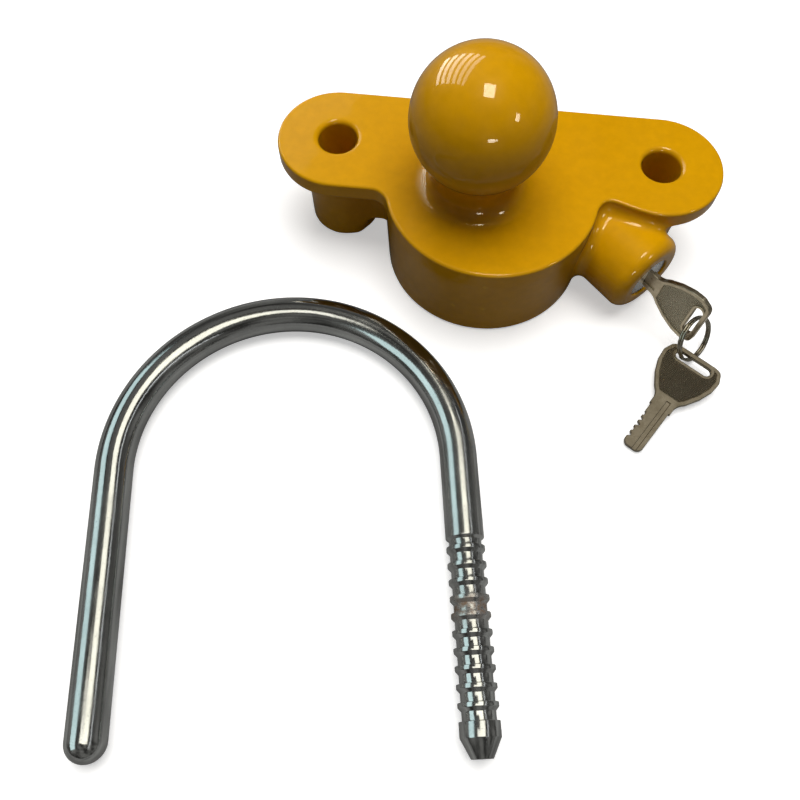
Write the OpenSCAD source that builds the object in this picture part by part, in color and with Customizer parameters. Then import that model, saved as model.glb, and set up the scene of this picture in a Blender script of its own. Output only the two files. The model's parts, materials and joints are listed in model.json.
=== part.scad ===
// Trailer coupler lock: a ball casting with two shackle bores and a key lock,
// a loose U shackle with a ratchet leg, and two keys on a split ring.
// Origin on the floor under the ball, X along the two bores, Y away from the lock face side, Z up.

/* [Ball and plate] */
// coupler ball diameter
ball_d = 47.6; // [46:0.1:49]
// height of the ball centre above the floor
ball_z = 69; // [66:0.5:74]
// neck diameter under the ball
neck_d = 29; // [26:0.5:32]
// height of the plate's upper face
plate_top = 38; // [37:0.5:40]
// plate thickness
plate_t = 7; // [6:0.5:8]
// radius of the lobe around each shackle bore
lobe_r = 22; // [21.5:0.1:22.5]
// radius of the round skirt under the ball
skirt_r = 38; // [37:0.5:39]
// centre of the skirt along the bore line
skirt_x = 6.5; // [5:0.5:8]
// wall thickness of the hollow skirt
skirt_wall = 7; // [6:0.5:8]

/* [Shackle bores] */
// distance between the two bores
bore_spacing = 117.4; // [117:0.1:118]
// distance of the plain-leg bore left of the ball axis
bore_left = 51; // [50:0.5:52]
// distance of both bores behind the ball axis
bore_y = 15.4; // [15:0.1:16]
// bore diameter
bore_d = 14.2; // [13.8:0.1:14.6]
// rounding of the bore rims
rim_r = 1.8; // [1:0.1:2]

/* [Lock boss] */
// height of the lock axis above the floor
lock_z = 17; // [16.5:0.1:18]
// distance of the lock axis from the ratchet-leg bore axis
lock_offset = 24; // [23.8:0.1:24.2]
// depth of the locking bolt's axis behind the boss face
bolt_depth = 24.7; // [24.6:0.1:25]
// outside diameter of the lock boss
boss_d = 31; // [30:0.5:31]
// rounding of the lock boss rim
boss_round = 4.5; // [3:0.5:5]

/* [Lock cylinder] */
// outside diameter of the lock shell
shell_d = 16.4; // [16.4:0.1:16.6]
// diameter of the turning plug
plug_d = 12.4; // [12.4:0.1:12.6]
// number of wafers
wafer_count = 5; // [3:1:5]
// distance between wafers
wafer_pitch = 2.4; // [2.3:0.1:2.4]
// tilt of the key about the lock axis, from upright
key_tilt = 6; // [0:1:15]

/* [Locking bolt] */
// bolt diameter
bolt_d = 9.5; // [9.5:0.1:9.7]
// distance the bolt travels into the ratchet-leg bore
bolt_stroke = 2; // [1.8:0.1:2]
// thickness of the bolt's tooth, which drops between two ratchet ribs
tooth_t = 2.2; // [2:0.1:2.4]
// gap between the drawn-back bolt nose and the bore wall
nose_gap = 0.3; // [0.2:0.05:0.4]
// diameter of the driver's eccentric pin
crank_d = 3; // [2.8:0.1:3.1]

/* [Shackle] */
// shackle rod diameter
rod_d = 12.7; // [12.5:0.1:12.9]
// straight length of the plain leg up to its round end
plain_leg = 91.7; // [88:0.1:94]
// distance from the bow to the first ratchet shoulder
ratchet_start = 31.9; // [30:0.1:34]
// distance between ratchet shoulders
ratchet_pitch = 5.31; // [5.2:0.01:5.4]
// number of ratchet ribs above the end collar
rib_count = 10; // [6:1:10]
// diameter at the bottom of the ratchet grooves
groove_d = 10.6; // [10.4:0.1:10.8]
// bow centre of the laid-down shackle, along X
shackle_x = -54.1; // [-56:0.1:-52]
// bow centre of the laid-down shackle, along Y
shackle_y = -100.6; // [-104:0.1:-98]
// turn of the laid-down shackle about Z
shackle_turn = 9; // [6:0.5:12]

/* [Keys and ring] */
// key thickness
key_t = 2; // [1.9:0.05:2.1]
// key blade width
blade_w = 7.4; // [7.2:0.1:7.5]
// key bow width
bow_w = 23; // [22:0.5:24]
// distance from the boss face to the end of the inserted key's bow
key_out = 25.6; // [25:0.1:26]
// mean diameter of the split ring
ring_d = 16.4; // [16.2:0.1:16.6]
// split ring wire diameter
ring_wire = 1.1; // [1:0.05:1.2]

/* [Hidden] */
$fn = 96;

paint = [0.83, 0.6, 0.05];
chrome = [0.75, 0.76, 0.78];
brass = [0.78, 0.62, 0.32];
steel = [0.6, 0.6, 0.62];
nickel = [0.62, 0.58, 0.5];
black = [0.08, 0.08, 0.08];

plate_z = plate_top - plate_t;
bore_right = bore_spacing - bore_left;
plate_back = bore_y + lobe_r;
plate_front = bore_y - lobe_r;
skirt_y = plate_back - skirt_r;
cavity_h = plate_z - 4;
corner_r = 5;
notch_r = 6;
web_w = 11;
web_arch_r = 8;
web_arch_z = 1;
plain_boss = [-bore_left + 1.8, bore_y - 3.4];
ratchet_boss = [bore_right - 0.5, bore_y - 1];
boss_top_r = 13.5;
plain_foot_r = 13;
ratchet_foot_r = 12;
web_arch_x = (skirt_x - skirt_r - bore_left + plain_foot_r) / 2;
neck_fillet = 6;

lock_turn = -45;
diag = sqrt(0.5);
face_x = bore_right + diag * (bolt_depth - lock_offset);
face_y = bore_y - diag * (bolt_depth + lock_offset);
foot_x = bore_right - diag * lock_offset;
foot_y = bore_y - diag * lock_offset;
boss_len = 36;

fit = 0.05;
shell_r = shell_d / 2;
lock_bore_r = shell_r + fit;
plug_r = plug_d / 2;
cap_in = 0.8;
cap_t = 0.8;
shell_in = cap_in + cap_t;
shell_end = 15.6;
clip_t = 0.8;
clip_in = shell_end + 0.1;
plug_end = 16.9;
tongue_w = 3;
tongue_len = 9;
tongue_end = 18.4;
driver_in = plug_end + 0.1;
driver_end = 19.6;
driver_r = 7.6;
lock_bore_end = 21.2;
wafer_first = 4;
wafer_t = 1;
wafer_h = 10;
wafer_half = 1.9;
wafer_window = 1.2;
ear_u = 3.1;
ear_gap = 0.1;
spring_u = 2.55;
spring_r = 0.35;
spring_wire = 0.12;
wafer_groove_r = 7;
oring_in = 3.4;
oring_w = 1.3;
oring_r = 7.6;
oring_wire = 0.5;
pin_r = 1.5;
pin_depth = 12.4;
pin_tip = 7.2;
pin_foot = 15.2;

bolt_r = bolt_d / 2;
bolt_bore_r = bolt_r + fit;
crank_past = 0.8;
bolt_nose = lock_offset - bore_d / 2 - nose_gap;
bolt_tail = -6.6;
slot_rear = -bolt_stroke / 2 - crank_d / 2 - 0.06;
slot_front = bolt_stroke / 2 + crank_d / 2 + 0.1;
slot_half = 3.1;
bolt_bore_end = -12;
bolt_bore_out = 40;
plug_seat = 31;
plug_len = 4;
coil_r = 3.6;
coil_wire = 0.45;
coil_count = 5;
tooth_len = 3;
housing_r = 9;

key_tip = 18.2;
shoulder = 0.3;
neck_w = 8.4;
neck_end = 4.6;
key_len = key_tip + key_out;
slot_w = 3.4;
slot_len = 14;
strap = 1.7;
slot_out = key_out - strap - slot_w / 2;
rod_r = rod_d / 2;
land = 1.4;
slope = 1.15;
collar = 4.6;
cone = 5.9;
tip_r = 3.4;
spare_tilt = 4.8;
spare_turn = 57.1;
spare_tip = [63.9, -79.6, 0.15];
ring_pos = [85.4, -37.1, 8.05];
ring_turn = 49.2;
ring_lean = 28.7;

// Places its children in the lock frame: Z out of the boss face, X down, Y toward the ratchet leg.
module at_lock() {
    translate([face_x, face_y, lock_z]) rotate([0, 90, lock_turn]) children();
}

// Places its children in the bolt frame: Z toward the ratchet-leg bore, X down.
module at_bolt() {
    translate([foot_x, foot_y, lock_z]) rotate([0, 90, -lock_turn]) children();
}

// Places its children in the key frame: Z out of the lock, Y across the blade, X through it.
module at_key() {
    at_lock() rotate([0, 0, 90 - key_tilt]) children();
}

// A cylinder from one depth behind the face to a deeper one.
module depth_cyl(from, to, r) {
    translate([0, 0, -to]) cylinder(h = to - from, r = r);
}

// Tangent point helper: the point on a circle that lies toward another centre.
function toward(c, r, p) = c + (p - c) * r / norm(p - c);

// Centre of the circle of radius r touching two circles on the side given by s.
function blend_centre(a, ra, b, rb, r, s) =
    let (d = norm(b - a), m = ((ra + r) ^ 2 - (rb + r) ^ 2 + d ^ 2) / (2 * d),
         h = sqrt((ra + r) ^ 2 - m ^ 2), u = (b - a) / d)
    a + u * m + s * h * [-u[1], u[0]];

module plate_outline() {
    left = [-bore_left, bore_y];
    right = [bore_right, bore_y];
    mid = [skirt_x, skirt_y];
    drop = plate_front - corner_r - skirt_y;
    inner = [skirt_x - sqrt((skirt_r + corner_r) ^ 2 - drop ^ 2), plate_front - corner_r];
    notch = blend_centre(mid, skirt_r, right, lobe_r, notch_r, -1);
    translate(left) circle(r = lobe_r);
    translate(right) circle(r = lobe_r);
    translate(mid) circle(r = skirt_r);
    difference() {
        polygon([[-bore_left, plate_front], [inner[0], plate_front], toward(inner, corner_r, mid),
                 mid, toward(notch, notch_r, mid), toward(notch, notch_r, right),
                 [bore_right, plate_back], [-bore_left, plate_back]]);
        translate(inner) circle(r = corner_r);
        translate(notch) circle(r = notch_r);
    }
}

module ball_and_neck() {
    neck_r = neck_d / 2;
    translate([0, 0, ball_z]) sphere(d = ball_d);
    translate([0, 0, plate_z]) cylinder(h = ball_z - plate_z, r = neck_r);
    translate([0, 0, plate_top]) rotate_extrude() difference() {
        translate([neck_r - 1, -1]) square([neck_fillet + 1, neck_fillet + 1]);
        translate([neck_r + neck_fillet, neck_fillet]) circle(r = neck_fillet);
    }
}

module hollow_skirt() {
    difference() {
        translate([skirt_x, skirt_y, 0]) cylinder(h = plate_z + 1, r1 = skirt_r - 1.2, r2 = skirt_r);
        translate([skirt_x, skirt_y, -1]) cylinder(h = cavity_h + 1, r = skirt_r - skirt_wall);
    }
}

module leg_boss(centre, foot) {
    translate([centre[0], centre[1], 0]) cylinder(h = plate_z + 1, r1 = foot, r2 = boss_top_r);
}

module plain_web() {
    difference() {
        translate([-bore_left, plain_boss[1] - web_w + 1, web_arch_z])
            cube([bore_left + skirt_x - skirt_r + 3, web_w, plate_z]);
        translate([web_arch_x, -1, web_arch_z])
            rotate([-90, 0, 0]) cylinder(h = bore_y + web_w, r = web_arch_r);
    }
}

module lock_boss() {
    boss_r = boss_d / 2;
    at_lock() {
        translate([0, 0, -boss_len]) rotate_extrude() {
            square([boss_r - boss_round, boss_len]);
            square([boss_r, boss_len - boss_round]);
            translate([boss_r - boss_round, boss_len - boss_round]) intersection() {
                circle(r = boss_round);
                square(boss_round + 1);
            }
        }
    }
    at_bolt() cylinder(h = lock_offset, r = housing_r);
}

module rim_cut(x, z, flip) {
    r = bore_d / 2;
    translate([x, bore_y, z]) mirror([0, 0, flip]) rotate_extrude() difference() {
        translate([0, -rim_r]) square([r + rim_r, rim_r + 1]);
        translate([r + rim_r, -rim_r]) circle(r = rim_r);
    }
}

module shackle_bore(x) {
    translate([x, bore_y, -1]) cylinder(h = plate_top + 2, d = bore_d);
    rim_cut(x, plate_top, 0);
}

module body_casting() color(paint) {
    difference() {
        union() {
            translate([0, 0, plate_z]) linear_extrude(plate_t) plate_outline();
            ball_and_neck();
            hollow_skirt();
            leg_boss(plain_boss, plain_foot_r);
            leg_boss(ratchet_boss, ratchet_foot_r);
            plain_web();
            lock_boss();
        }
        shackle_bore(-bore_left);
        shackle_bore(bore_right);
        at_lock() depth_cyl(-1, lock_bore_end, lock_bore_r);
        at_bolt() translate([0, 0, bolt_bore_end])
            cylinder(h = bolt_bore_out - bolt_bore_end, r = bolt_bore_r);
        at_lock() translate([pin_tip, 0, -pin_depth]) rotate([0, 90, 0]) cylinder(h = 12, r = pin_r);
        translate([-100, -100, -20]) cube([200, 200, 20]);
    }
}

// One leg profile: half section from the bow end (top) to the tip (bottom).
module ratchet_profile() {
    first = -ratchet_start;
    last = first - rib_count * ratchet_pitch;
    groove_r = groove_d / 2;
    square_h = ratchet_pitch - land - slope;
    polygon([[0, 0], [rod_r, 0], [rod_r, first + square_h + slope - 0.4], [groove_r, first + square_h - 0.6],
             [groove_r, first], [0, first]]);
    for (i = [0 : rib_count - 1]) {
        top = first - i * ratchet_pitch;
        polygon([[0, top], [rod_r, top], [rod_r, top - land], [groove_r, top - land - slope],
                 [groove_r, top - ratchet_pitch], [0, top - ratchet_pitch]]);
    }
    polygon([[0, last], [rod_r, last], [rod_r, last - collar], [tip_r, last - collar - cone],
             [0, last - collar - cone]]);
}

module at_shackle() {
    translate([shackle_x, shackle_y, rod_r]) rotate([0, 0, shackle_turn]) children();
}

module shackle() color(chrome) {
    bow_radius = bore_spacing / 2;
    at_shackle() {
        rotate_extrude(angle = 180) translate([bow_radius, 0]) circle(d = rod_d);
        translate([-bow_radius, 0, 0]) rotate([90, 0, 0]) cylinder(h = plain_leg - rod_r, d = rod_d);
        translate([-bow_radius, rod_r - plain_leg, 0]) sphere(d = rod_d);
        translate([bow_radius, 0, 0]) rotate([-90, 0, 0]) rotate_extrude() ratchet_profile();
    }
}

// Opening through plug and driver side wall that one wafer slides in.
module wafer_space(extra) {
    half = wafer_half + extra;
    translate([-half, -plug_r - 1, 0]) cube([2 * half, 2 * plug_r + 2, wafer_t + 2 * extra]);
    translate([0, -wafer_h / 2 + 0.6, 0])
        cube([ear_u + extra, wafer_h + 1, wafer_t + 2 * extra]);
}

module each_wafer() {
    for (i = [0 : wafer_count - 1])
        translate([0, 0, -wafer_first - i * wafer_pitch - wafer_t]) children();
}

module lock_shell() color(steel) {
    difference() {
        at_lock() depth_cyl(shell_in, shell_end, shell_r);
        at_lock() depth_cyl(shell_in - 1, shell_end + 1, plug_r + fit);
        at_key() translate([-3.6, -wafer_groove_r, -shell_end + 1.2])
            cube([7.2, 2 * wafer_groove_r, shell_end - wafer_first + 1]);
        at_lock() translate([0, 0, -oring_in - oring_w]) difference() {
            cylinder(h = oring_w, r = shell_r + 1);
            translate([0, 0, -1]) cylinder(h = oring_w + 2, r = oring_r - oring_wire - fit);
        }
        at_lock() translate([pin_tip, 0, -pin_depth]) rotate([0, 90, 0]) cylinder(h = 4, r = pin_r);
    }
}

module lock_face_cap() color(chrome) {
    at_lock() difference() {
        depth_cyl(cap_in, cap_in + cap_t, shell_r);
        depth_cyl(cap_in - 1, cap_in + cap_t + 1, plug_r + fit);
    }
}

module keyway_cut(extra) {
    at_key() translate([-key_t / 2 - extra, -blade_w / 2 - extra, -tongue_end - fit])
        cube([key_t + 2 * extra, blade_w + 2 * extra, tongue_end + 2]);
}

// The plug's cross tongue that turns the driver; the keyway splits it into two prongs.
module tongue(extra) {
    at_key() translate([-tongue_len / 2 - extra, -tongue_w / 2 - extra, -tongue_end - extra])
        cube([tongue_len + 2 * extra, tongue_w + 2 * extra, tongue_end - plug_end + 1]);
}

module lock_plug() color(brass) {
    difference() {
        union() {
            at_lock() depth_cyl(cap_in + 0.1, plug_end, plug_r);
            tongue(0);
        }
        keyway_cut(0.1);
        at_key() each_wafer() translate([0, 0, -0.05]) wafer_space(0.05);
        at_lock() translate([0, 0, -clip_in - clip_t - 0.05]) difference() {
            cylinder(h = clip_t + 0.1, r = plug_r + 1);
            translate([0, 0, -1]) cylinder(h = clip_t + 3, r = plug_r - 0.8);
        }
    }
}

// One wafer: a plate with a window for the blade and an ear that rests on its spring.
module wafer() {
    difference() {
        intersection() {
            union() {
                translate([-wafer_half, -wafer_h / 2, 0]) cube([2 * wafer_half, wafer_h, wafer_t]);
                translate([0, -ear_gap, 0]) cube([ear_u, 2, wafer_t]);
            }
            cylinder(h = wafer_t, r = plug_r - 0.1);
        }
        translate([-wafer_window, -blade_w / 2 - 0.15, -1])
            cube([2 * wafer_window, blade_w + 0.3, wafer_t + 2]);
    }
}

module wafer_tumblers() color(brass) {
    at_key() each_wafer() wafer();
}

module wafer_springs() color(steel) {
    turns = 4;
    at_key() each_wafer() for (j = [0 : turns - 1])
        translate([spring_u, -ear_gap - 0.3 - j * 0.95, wafer_t / 2]) rotate([90, 0, 0])
            rotate_extrude() translate([spring_r, 0]) circle(r = spring_wire, $fn = 24);
}

module tail_driver() color(steel) {
    difference() {
        union() {
            at_lock() depth_cyl(driver_in, driver_end, driver_r);
            at_lock() translate([-bolt_stroke / 2, -bolt_stroke / 2, 0])
                depth_cyl(driver_end - 1, bolt_depth + crank_past, crank_d / 2);
        }
        tongue(fit);
        keyway_cut(0.1);
    }
}

module plug_retaining_clip() color(steel) {
    at_lock() difference() {
        depth_cyl(clip_in, clip_in + clip_t, plug_r + 1.4);
        depth_cyl(clip_in - 1, clip_in + clip_t + 1, plug_r - 0.75);
        translate([2, -2.5, -clip_in - clip_t - 1]) cube([plug_r + 2, 5, clip_t + 2]);
    }
}

module shell_retaining_pin() color(steel) {
    at_lock() translate([pin_tip, 0, -pin_depth]) rotate([0, 90, 0])
        cylinder(h = pin_foot - pin_tip, r = pin_r);
}

module shell_o_ring() color(black) {
    at_lock() translate([0, 0, -oring_in - oring_w / 2]) rotate_extrude()
        translate([oring_r, 0]) circle(r = oring_wire, $fn = 32);
}

// Round bolt with a level tooth at its nose and a slot for the driver's eccentric pin.
module locking_bolt() color(steel) {
    at_bolt() difference() {
        translate([0, 0, bolt_tail]) cylinder(h = bolt_nose - bolt_tail, r = bolt_r);
        for (side = [0, 180]) rotate([0, 0, side])
            translate([tooth_t / 2, -bolt_r - 1, bolt_nose - tooth_len])
                cube([bolt_r, 2 * bolt_r + 2, tooth_len + 1]);
        translate([-slot_half, -bolt_r - 1, slot_rear])
            cube([2 * slot_half, bolt_r + crank_past + 1.6, slot_front - slot_rear]);
    }
}

module bolt_spring() color(steel) {
    rise = (bolt_tail - bolt_bore_end - 2 * coil_wire - 0.2) / (coil_count - 1);
    at_bolt() for (j = [0 : coil_count - 1])
        translate([0, 0, bolt_bore_end + 0.1 + coil_wire + j * rise]) rotate_extrude()
            translate([coil_r, 0]) circle(r = coil_wire, $fn = 24);
}

module bolt_bore_plug() color(steel) {
    at_bolt() difference() {
        translate([0, 0, plug_seat]) cylinder(h = plug_len, r = bolt_bore_r);
        translate([0, 0, plug_seat + plug_len - 2]) cylinder(h = 3, r = 2.5, $fn = 6);
    }
}

// Flat key outline: the length runs along Y, from the blade tip to the bow end.
module key_outline() {
    bow_len = key_out - neck_end;
    half = bow_w / 2;
    difference() {
        union() {
            translate([-blade_w / 2, 1.5]) square([blade_w, key_tip]);
            polygon([[-blade_w / 2, 1.5], [-blade_w / 2 + 1.5, 0], [blade_w / 2 - 1.5, 0],
                     [blade_w / 2, 1.5]]);
            translate([-neck_w / 2, key_tip + shoulder]) square([neck_w, neck_end]);
            translate([0, key_tip + neck_end]) polygon([
                [-half + 6.8, -1], [half - 6.8, -1], [half - 5.4, 2.4], [half - 2.2, 7.4],
                [half - 0.4, 12.6], [half, 16.2], [half - 0.7, 18.6], [half - 2.2, bow_len - 0.8],
                [half - 4, bow_len], [-half + 4, bow_len], [-half + 2.2, bow_len - 0.8],
                [-half + 0.7, 18.6], [-half, 16.2], [-half + 0.4, 12.6], [-half + 2.2, 7.4],
                [-half + 5.4, 2.4]]);
        }
        translate([0, key_tip + slot_out]) key_slot();
        for (i = [0 : wafer_count - 1])
            translate([-blade_w / 2, key_tip - wafer_first - i * wafer_pitch - wafer_t / 2])
                bitting(0.6 + 0.4 * (i % 3));
    }
}

module key_slot() {
    reach = (slot_len - slot_w) / 2;
    translate([-reach, -slot_w / 2]) square([2 * reach, slot_w]);
    translate([-reach, 0]) circle(d = slot_w);
    translate([reach, 0]) circle(d = slot_w);
}

module bitting(cut) {
    polygon([[-1, -1], [-1, 1], [0, 1], [cut, 0.45], [cut, -0.45], [0, -1]]);
}

// A flat key lying in XY with its thickness along Z, tip at the origin.
module flat_key() {
    groove_w = 1.6;
    difference() {
        linear_extrude(key_t) key_outline();
        translate([0.4, -1, key_t - 0.5]) cube([groove_w, key_tip + neck_end, 1]);
    }
}

module inserted_key() color(nickel) {
    at_key() translate([-key_t / 2, 0, -key_tip]) rotate([90, 0, 90]) flat_key();
}

module key_ring() color(chrome) {
    translate(ring_pos) rotate([90 - ring_lean, 0, ring_turn]) rotate_extrude() {
        translate([ring_d / 2, ring_wire * 0.45]) circle(d = ring_wire, $fn = 32);
        translate([ring_d / 2, -ring_wire * 0.45]) circle(d = ring_wire, $fn = 32);
    }
}

module spare_key() color(nickel) {
    translate(spare_tip) rotate([0, 0, spare_turn - 90]) rotate([spare_tilt, 0, 0]) flat_key();
}

body_casting();
shackle();
lock_shell();
lock_face_cap();
lock_plug();
wafer_tumblers();
wafer_springs();
tail_driver();
plug_retaining_clip();
shell_retaining_pin();
shell_o_ring();
locking_bolt();
bolt_spring();
bolt_bore_plug();
inserted_key();
key_ring();
spare_key();
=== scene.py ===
"""Trailer coupler lock: enamelled ball casting, chromed shackle, key lock and keys on a split ring."""
import json
import math

import bpy
import numpy as np
from mathutils import Matrix, Vector


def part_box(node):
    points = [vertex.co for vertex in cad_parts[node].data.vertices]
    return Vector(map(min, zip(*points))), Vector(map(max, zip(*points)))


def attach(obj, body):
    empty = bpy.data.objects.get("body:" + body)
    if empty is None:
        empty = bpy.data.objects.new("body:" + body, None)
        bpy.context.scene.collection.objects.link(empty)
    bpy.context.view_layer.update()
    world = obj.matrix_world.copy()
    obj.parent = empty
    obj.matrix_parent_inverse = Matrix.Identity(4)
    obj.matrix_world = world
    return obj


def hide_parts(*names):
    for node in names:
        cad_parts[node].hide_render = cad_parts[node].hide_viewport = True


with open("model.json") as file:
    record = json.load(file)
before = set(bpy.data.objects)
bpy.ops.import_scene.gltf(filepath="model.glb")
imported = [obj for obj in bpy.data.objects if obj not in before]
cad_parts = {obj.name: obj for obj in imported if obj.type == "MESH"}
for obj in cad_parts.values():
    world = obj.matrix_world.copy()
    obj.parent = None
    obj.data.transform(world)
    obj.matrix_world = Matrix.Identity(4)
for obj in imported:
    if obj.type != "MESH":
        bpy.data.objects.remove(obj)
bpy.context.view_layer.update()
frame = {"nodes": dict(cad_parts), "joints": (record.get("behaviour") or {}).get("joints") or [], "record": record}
MM = 0.001


# ---------------------------------------------------------------- places read from the frame
def mount(name):
    for m in frame["record"]["mounts"]:
        if m["name"] == name:
            return np.array(m["pos_m"]) / MM
    raise SystemExit("no mount " + name)


def joint(name):
    for j in frame["joints"]:
        if j["name"] == name:
            return j
    raise SystemExit("no joint " + name)


def box_mm(node):
    lo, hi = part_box(node)
    return np.array(lo) / MM, np.array(hi) / MM


cast_lo, cast_hi = box_mm("body_casting")
BORE_L, BORE_R = mount("plain_leg_bore"), mount("ratchet_leg_bore")
BORE_RADIUS = 7.1
BORE_RIM = 1.8
BALL_R = 23.8
BALL_Z = cast_hi[2] - BALL_R
PLATE_TOP, PLATE_T = 38.0, 7.0
LOBE_R = cast_hi[0] - BORE_R[0]
SKIRT_R = 38.0
SKIRT = np.array([6.5, cast_hi[1] - SKIRT_R])
FACE = np.array(joint("key_turn")["pos_m"]) / MM
OUT = -np.array(joint("key_turn")["axis"])
BOLT_DIR = np.array(joint("bolt_slide")["axis"])
BOLT_DEPTH = 24.7
FOOT = FACE - OUT * BOLT_DEPTH
FOOT[2] = FACE[2]


# ---------------------------------------------------------------- signed distance helpers (mm)
def round_union(a, b, r):
    return np.maximum(r, np.minimum(a, b)) - np.hypot(np.maximum(r - a, 0), np.maximum(r - b, 0))


def round_meet(a, b, r):
    return np.minimum(-r, np.maximum(a, b)) + np.hypot(np.maximum(r + a, 0), np.maximum(r + b, 0))


def round_cut(a, b, r):
    return round_meet(a, -b, r)


def disc(x, y, centre, r):
    return np.hypot(x - centre[0], y - centre[1]) - r


def rect(x, y, x0, x1, y0, y1):
    qx = np.abs(x - (x0 + x1) / 2) - (x1 - x0) / 2
    qy = np.abs(y - (y0 + y1) / 2) - (y1 - y0) / 2
    return np.hypot(np.maximum(qx, 0), np.maximum(qy, 0)) + np.minimum(np.maximum(qx, qy), 0)


def prism(d2, z, z0, z1, r):
    return round_meet(d2, np.abs(z - (z0 + z1) / 2) - (z1 - z0) / 2, r)


def along(x, y, z, origin, axis):
    """(distance along an axis, distance from it)."""
    dx, dy, dz = x - origin[0], y - origin[1], z - origin[2]
    t = dx * axis[0] + dy * axis[1] + dz * axis[2]
    return t, np.sqrt(np.maximum(dx * dx + dy * dy + dz * dz - t * t, 0))


def rod(x, y, z, origin, axis, t0, t1, radius, r):
    t, rho = along(x, y, z, origin, axis)
    return round_meet(rho - radius, np.abs(t - (t0 + t1) / 2) - (t1 - t0) / 2, r)


def taper(x, y, z, centre, r0, r1, z0, z1, r):
    k = (r1 - r0) / (z1 - z0)
    side = (np.hypot(x - centre[0], y - centre[1]) - (r0 + k * (z - z0))) / math.hypot(1, k)
    return round_meet(side, np.abs(z - (z0 + z1) / 2) - (z1 - z0) / 2, r)


# ---------------------------------------------------------------- the casting's shape
CORNER_R, NOTCH_R, EDGE_R = 5.0, 6.0, 1.1
PLATE_Z = PLATE_TOP - PLATE_T
NOTCH_Y = SKIRT[1] - 0.9
SKIRT_WALL, SKIRT_DRAFT, HOLLOW_ROOF, HOLLOW_FILLET = 7.0, 1.2, 4.0, 4.0
PLAIN_FOOT = BORE_L[:2] + [1.8, -3.4]
RATCHET_FOOT = BORE_R[:2] + [-0.5, -1]
PLAIN_FOOT_R, RATCHET_FOOT_R, FOOT_TOP_R, FOOT_EDGE = 13.0, 12.0, 13.5, 3.2
WEB_T, ARCH_R = 11.0, 8.0
BOSS_R, BOSS_LEN, BOSS_EDGE, BOSS_FILLET = 15.5, 36.0, 4.5, 4.8
HOUSING_R, HOUSING_FILLET = 9.0, 3.0
NECK_R, NECK_FILLET, NECK_FOOT_FILLET = 14.5, 3.0, 7.0
LOCK_BORE_R, LOCK_BORE_DEPTH = 8.25, 21.2
BOLT_BORE_R, BOLT_BORE_BACK = 4.8, 12.0
PIN_R, PIN_DEPTH, PIN_FROM = 1.5, 12.4, 7.2
DOWN = np.array([0, 0, -1.0])


def plate_2d(x, y):
    front = BORE_L[1] - LOBE_R
    back = BORE_L[1] + LOBE_R
    left = np.minimum(disc(x, y, BORE_L, LOBE_R), rect(x, y, BORE_L[0], SKIRT[0], front, back))
    bar = rect(x, y, SKIRT[0], BORE_R[0], NOTCH_Y, back)
    right = round_union(disc(x, y, BORE_R, LOBE_R), bar, NOTCH_R)
    right = np.where(y > BORE_R[1], np.minimum(disc(x, y, BORE_R, LOBE_R), bar), right)
    round_part = disc(x, y, SKIRT, SKIRT_R)
    front_side = np.minimum(round_union(round_part, left, CORNER_R), round_union(round_part, right, NOTCH_R))
    flat = np.minimum(np.minimum(left, right), round_part)
    return np.where(y > BORE_R[1], flat, front_side)


def skirt_shape(x, y, z):
    draft = SKIRT_DRAFT * np.maximum(0, (PLATE_Z - z) / PLATE_Z)
    skirt = prism(disc(x, y, SKIRT, SKIRT_R) + draft, z, 0, PLATE_TOP, EDGE_R)
    inner = SKIRT_R - SKIRT_WALL
    hollow = taper(x, y, z, SKIRT, inner - 0.5, inner, -12, PLATE_Z - HOLLOW_ROOF, HOLLOW_FILLET)
    return round_cut(skirt, hollow, 1.5)


def web_shape(x, y, z):
    """The rib with an arched foot between the plain-leg boss and the skirt."""
    skirt_edge = SKIRT[0] - SKIRT_R
    start = PLAIN_FOOT[1] - 10
    web = prism(rect(x, y, BORE_L[0], skirt_edge + 3, start, start + WEB_T), z, 1, PLATE_Z + 2, 1)
    arch_x = (skirt_edge + BORE_L[0] + PLAIN_FOOT_R) / 2
    return round_cut(web, np.hypot(x - arch_x, z - 1) - ARCH_R, 1.2)


def ball_shape(x, y, z):
    neck = np.maximum(np.maximum(np.hypot(x, y) - NECK_R, z - BALL_Z), PLATE_Z - z)
    ball = np.sqrt(x * x + y * y + (z - BALL_Z) ** 2) - BALL_R
    return round_union(neck, ball, NECK_FILLET)


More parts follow.
